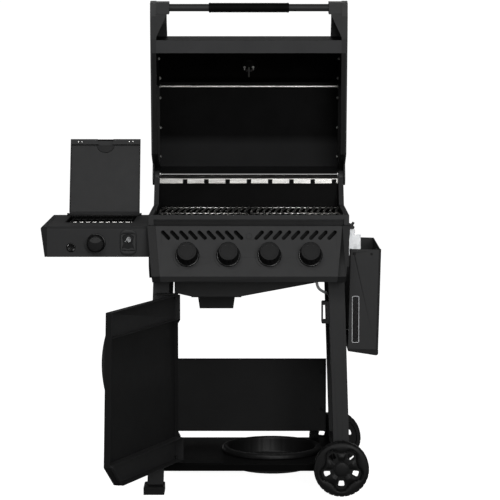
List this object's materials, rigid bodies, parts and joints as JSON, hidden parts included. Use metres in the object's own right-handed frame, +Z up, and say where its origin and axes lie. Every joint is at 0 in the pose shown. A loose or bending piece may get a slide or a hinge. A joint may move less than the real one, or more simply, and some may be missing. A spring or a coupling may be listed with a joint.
{
  "type": "gas barbecue grill",
  "caption": "Gas barbecue on a two-wheeled cart with hinged lid, cooking grids, side burner, folding side shelf and a hinged cart door.",
  "frame": {"origin": "on the floor, midway between the cart's left and right legs", "axes": "+X to the user's right, +Y to the back, +Z up"},
  "size_m": [1.1048, 1.124, 1.6064],
  "materials": {
    "cart_paint": "satin black powder coat",
    "casting": "black painted aluminium casting",
    "enamel": "gloss black porcelain enamel",
    "stainless": "brushed stainless steel",
    "galvanized": "zinc coated steel",
    "foil": "thin aluminium",
    "brass": "machined brass",
    "moulded_black": "fine-textured black nylon",
    "bezel": "gloss black ring",
    "grip": "soft ribbed grip",
    "handle_tube": "satin black tube",
    "gauge": "polished bezel",
    "fastener": "zinc plated",
    "ceramic": "glazed ceramic",
    "hose": "light grey gas hose",
    "regulator": "die-cast zinc with black nut"
  },
  "bodies": {
    "cart": {"front_legs": "cart_paint", "rear_legs": "cart_paint", "leg_feet": "moulded_black", "side_rails": "cart_paint", "bottom_shelf": "cart_paint", "bottle_well": "moulded_black", "back_panel": "cart_paint", "door_catch": "moulded_black", "wheel_axle": "galvanized", "firebox_sides": "casting", "firebox_front_wall": "enamel", "firebox_rear_wall": "enamel", "heat_deflector": "stainless", "tube_burners": "stainless", "flame_tamers": "enamel", "spark_electrodes": "ceramic", "gas_manifold": "galvanized", "burner_valves": "brass", "gas_hose": "hose", "gas_regulator": "regulator", "control_panel": "cart_paint", "panel_end_caps": "moulded_black", "knob_bezels": "bezel", "left_shelf_top": "cart_paint", "left_shelf_fascia": "cart_paint", "left_shelf_end_cap": "moulded_black", "right_shelf_bracket": "galvanized", "side_burner_pan": "enamel", "side_burner_head": "brass", "side_burner_grate": "stainless", "bottle_opener": "moulded_black", "hinge_fittings": "cart_paint", "cart_screws": "fastener", "left_cooking_grid": "stainless", "right_cooking_grid": "stainless"},
    "lid": {"lid_shell": "enamel", "lid_side_castings": "casting", "lid_handle_tube": "handle_tube", "lid_handle_grip": "grip", "lid_tie_rod": "stainless", "lid_thermometer": "gauge", "lid_nuts": "fastener"},
    "burner_knob_1": {"burner_knob_1": "moulded_black"},
    "burner_knob_2": {"burner_knob_2": "moulded_black"},
    "burner_knob_3": {"burner_knob_3": "moulded_black"},
    "burner_knob_4": {"burner_knob_4": "moulded_black"},
    "side_burner_knob": {"side_burner_knob": "moulded_black"},
    "igniter_button": {"igniter_button": "bezel"},
    "side_burner_lid": {"side_burner_lid": "cart_paint"},
    "right_shelf": {"right_shelf_top": "cart_paint", "right_shelf_fascia": "cart_paint", "right_shelf_end_cap": "moulded_black"},
    "door": {"door_skin": "cart_paint", "door_liner": "cart_paint", "door_handle": "moulded_black"},
    "front_wheel": {"front_wheel": "moulded_black"},
    "rear_wheel": {"rear_wheel": "moulded_black"},
    "grease_drawer": {"grease_tray": "galvanized", "drip_cup_holder": "galvanized", "drip_cup": "foil"}
  },
  "joints": [
    {"name": "lid_hinge", "type": "hinge", "parent": "cart", "child": "lid", "pos_m": [0, 0.24, 1], "axis": [1, 0, 0], "range_deg": [0, 82.4]},
    {"name": "side_burner_lid_hinge", "type": "hinge", "parent": "cart", "child": "side_burner_lid", "pos_m": [-0.495, 0.168, 0.88], "axis": [1, 0, 0], "range_deg": [0, 110]},
    {"name": "right_shelf_fold", "type": "hinge", "parent": "cart", "child": "right_shelf", "pos_m": [0.342, 0, 0.7885], "axis": [0, -1, 0], "range_deg": [0, 91.4]},
    {"name": "door_hinge", "type": "hinge", "parent": "cart", "child": "door", "pos_m": [-0.237, -0.257, 0.38], "axis": [0, 0, 1], "range_deg": [0, 113.4]},
    {"name": "front_wheel_spin", "type": "hinge", "parent": "cart", "child": "front_wheel", "pos_m": [0.301, -0.29, 0.09], "axis": [0, 1, 0], "continuous": true},
    {"name": "rear_wheel_spin", "type": "hinge", "parent": "cart", "child": "rear_wheel", "pos_m": [0.301, 0.25, 0.09], "axis": [0, 1, 0], "continuous": true},
    {"name": "grease_drawer_slide", "type": "slide", "parent": "cart", "child": "grease_drawer", "axis": [0, 1, 0], "range_m": [0, 0.3]},
    {"name": "igniter_press", "type": "slide", "parent": "cart", "child": "igniter_button", "axis": [0, 1, 0], "range_m": [0, 0.005], "stiffness_N_per_m": 900, "springref_m": -0.002},
    {"name": "side_knob_turn", "type": "hinge", "parent": "cart", "child": "side_burner_knob", "pos_m": [-0.495, -0.24, 0.823], "axis": [0, -1, 0], "range_deg": [0, 180]},
    {"name": "knob_1_turn", "type": "hinge", "parent": "cart", "child": "burner_knob_1", "pos_m": [-0.198, -0.30273, 0.78923], "axis": [0, -0.9124, 0.4094], "range_deg": [0, 180]},
    {"name": "knob_2_turn", "type": "hinge", "parent": "cart", "child": "burner_knob_2", "pos_m": [-0.066, -0.30273, 0.78923], "axis": [0, -0.9124, 0.4094], "range_deg": [0, 180]},
    {"name": "knob_3_turn", "type": "hinge", "parent": "cart", "child": "burner_knob_3", "pos_m": [0.066, -0.30273, 0.78923], "axis": [0, -0.9124, 0.4094], "range_deg": [0, 180]},
    {"name": "knob_4_turn", "type": "hinge", "parent": "cart", "child": "burner_knob_4", "pos_m": [0.198, -0.30273, 0.78923], "axis": [0, -0.9124, 0.4094], "range_deg": [0, 180]}
  ]
}
